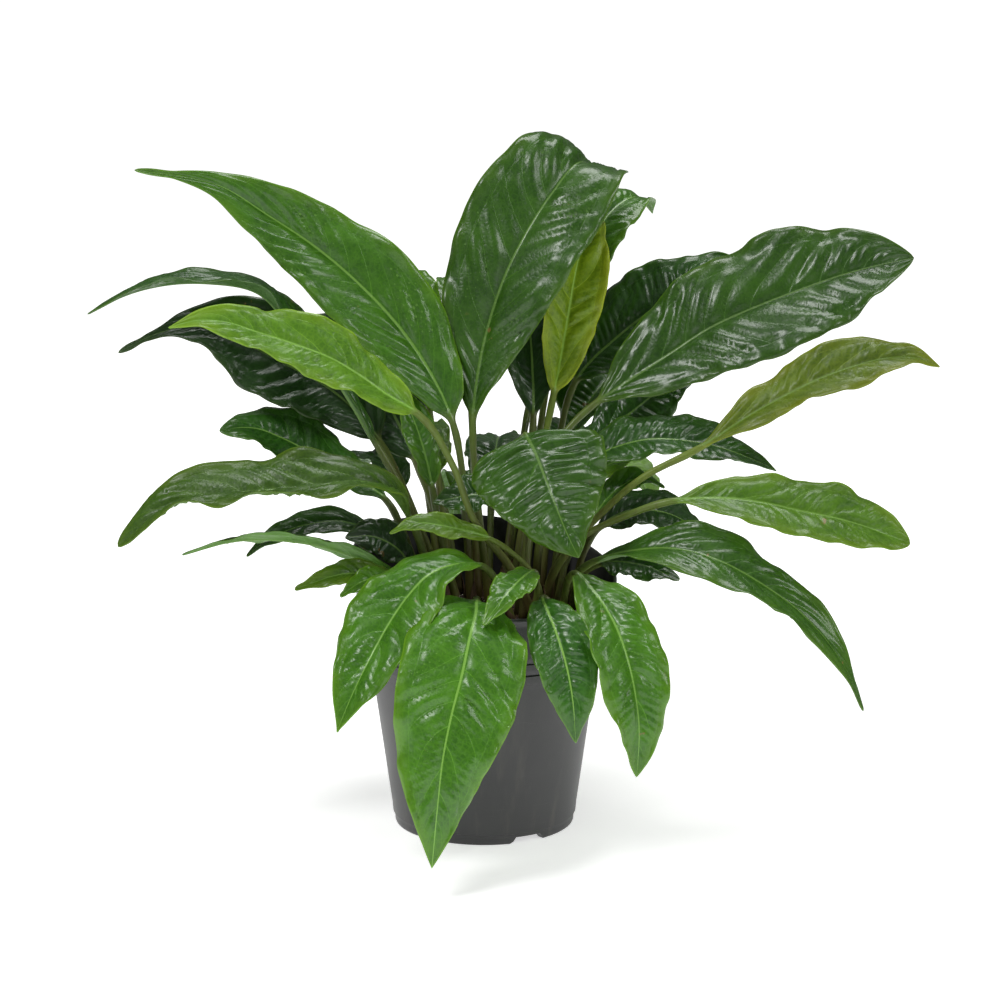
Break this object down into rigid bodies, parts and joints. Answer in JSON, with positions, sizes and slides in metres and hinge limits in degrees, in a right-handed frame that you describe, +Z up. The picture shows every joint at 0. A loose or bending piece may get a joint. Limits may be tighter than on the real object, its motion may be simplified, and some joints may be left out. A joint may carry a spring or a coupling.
{
  "type": "potted foliage anthurium",
  "caption": "Potted foliage plant: long arching glossy green leaves on slender stalks rising from potting mix in a round tapered dark grey nursery pot.",
  "frame": {"origin": "centre of the pot's flat underside, on the surface it stands on", "axes": "+Z up along the pot's axis, +X to the plant's right seen from the front, +Y away from the front"},
  "size_m": [0.738, 0.5112, 0.6022],
  "materials": {
    "pot_plastic": "satin",
    "potting_mix": "rough, crumbly",
    "leaf_mid": "waxy",
    "leaf_dark": "waxy",
    "leaf_deep": "waxy",
    "leaf_light": "waxy",
    "leaf_bright": "waxy"
  },
  "bodies": {
    "root": {"pot": "pot_plastic", "potting_mix": "potting_mix", "leaf_tall": "leaf_mid", "leaf_upper_left": "leaf_mid", "leaf_far_left": "leaf_dark", "leaf_left_pale": "leaf_light", "leaf_left_dark": "leaf_deep", "leaf_left_back": "leaf_deep", "leaf_left_inner": "leaf_mid", "leaf_left_mid": "leaf_dark", "leaf_left_arch": "leaf_light", "leaf_low_left_long": "leaf_mid", "leaf_low_left_arch": "leaf_dark", "leaf_low_left_short": "leaf_light", "leaf_low_left_dark": "leaf_deep", "leaf_low_left_tiny": "leaf_mid", "leaf_front_left": "leaf_mid", "leaf_front_centre": "leaf_mid", "leaf_front_small": "leaf_mid", "leaf_front_mid": "leaf_dark", "leaf_front_right": "leaf_mid", "leaf_right_droop": "leaf_mid", "leaf_right_low": "leaf_dark", "leaf_right_low_back": "leaf_deep", "leaf_right_pale": "leaf_light", "leaf_right_pale_high": "leaf_bright", "leaf_right_big": "leaf_mid", "leaf_right_behind": "leaf_dark", "leaf_bright_upright": "leaf_bright", "leaf_back_tip": "leaf_mid", "leaf_centre_dark": "leaf_deep", "leaf_right_under": "leaf_dark", "leaf_right_grey": "leaf_dark", "leaf_right_small": "leaf_mid", "leaf_centre_front": "leaf_mid", "leaf_centre_small": "leaf_dark", "leaf_centre_low": "leaf_light", "leaf_behind_01": "leaf_mid", "leaf_behind_02": "leaf_dark", "leaf_behind_03": "leaf_mid", "leaf_behind_04": "leaf_light", "leaf_behind_05": "leaf_mid", "leaf_behind_06": "leaf_dark", "leaf_behind_07": "leaf_mid", "leaf_behind_08": "leaf_dark", "leaf_behind_09": "leaf_light", "leaf_behind_10": "leaf_dark", "leaf_behind_11": "leaf_mid", "leaf_behind_12": "leaf_dark"}
  },
  "joints": []
}
